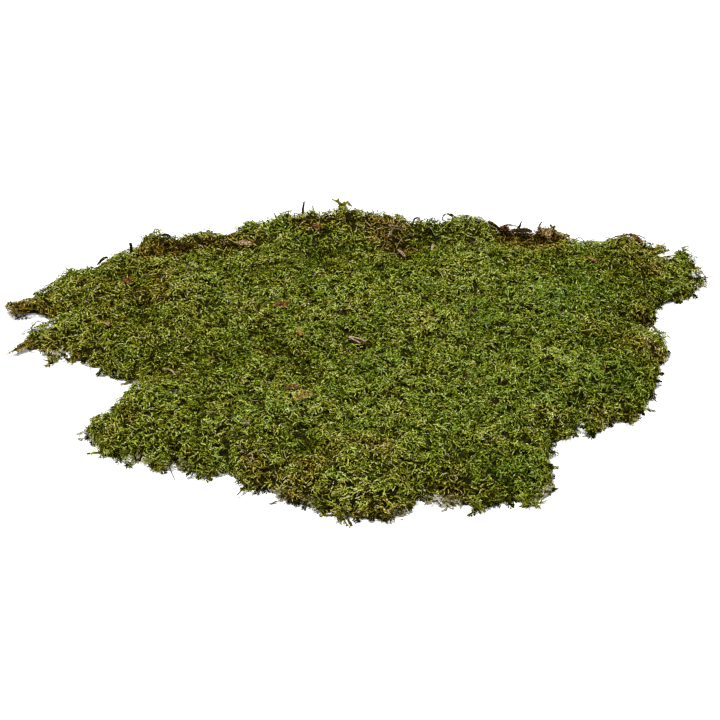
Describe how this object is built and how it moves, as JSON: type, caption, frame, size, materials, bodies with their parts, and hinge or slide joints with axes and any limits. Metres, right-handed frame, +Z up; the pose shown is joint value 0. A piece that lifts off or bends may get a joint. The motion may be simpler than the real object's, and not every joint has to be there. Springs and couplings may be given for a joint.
{
  "type": "moss mat",
  "caption": "Flat, ragged mat of living carpet moss torn up in one sheet, lumpy on top and flat beneath, with bits of bark, dead leaf, straw and twig caught in it.",
  "frame": {"origin": "middle of the footprint of the whole mat, on the surface it lies on", "axes": "+Z up, +X along the longest extent of the mat to the viewer's right, +Y away from the viewer, so the front of the mat faces -Y"},
  "size_m": [0.521, 0.362, 0.0293],
  "materials": {
    "moss_green": "living moss, soft, matt and slightly damp, yellow-green with brown old growth",
    "bark_dark": "dry dark brown bark, matt",
    "bark_red": "red-brown bark, matt",
    "bark_pale": "pinkish tan inner bark and needle, low sheen",
    "dead_leaf": "dry red-brown dead leaf, matt",
    "golden_leaf": "dry golden dead leaf, matt",
    "straw": "pale straw, low sheen",
    "twig": "weathered dark twig, matt"
  },
  "bodies": {
    "root": {"moss_mat": "moss_green", "split_needle": "bark_pale", "red_leaf_scrap": "dead_leaf", "orange_flake": "bark_pale", "brown_leaf_scrap": "dead_leaf", "golden_leaf_curl": "golden_leaf", "seed_flake": "bark_pale", "curved_bark_strip": "bark_pale", "pale_straw_strip": "straw", "red_bark_strip": "bark_red", "grey_bark_flake": "bark_pale", "dark_leaf_scrap": "bark_dark", "dark_crescent": "bark_dark", "wood_chip": "twig", "red_fleck": "dead_leaf", "long_bark_strip": "bark_red", "crumpled_leaf": "dead_leaf", "crumpled_leaf_edge": "dead_leaf", "rim_bark_flake": "bark_dark", "tan_needle_strip": "bark_pale", "tan_leaf_bit": "straw", "pink_straw": "straw", "reddish_twig": "bark_red", "straw_ring": "straw", "twig_stub": "twig", "bark_splinter": "bark_dark", "bark_curl": "bark_dark", "bark_chunk": "bark_red"}
  },
  "joints": []
}
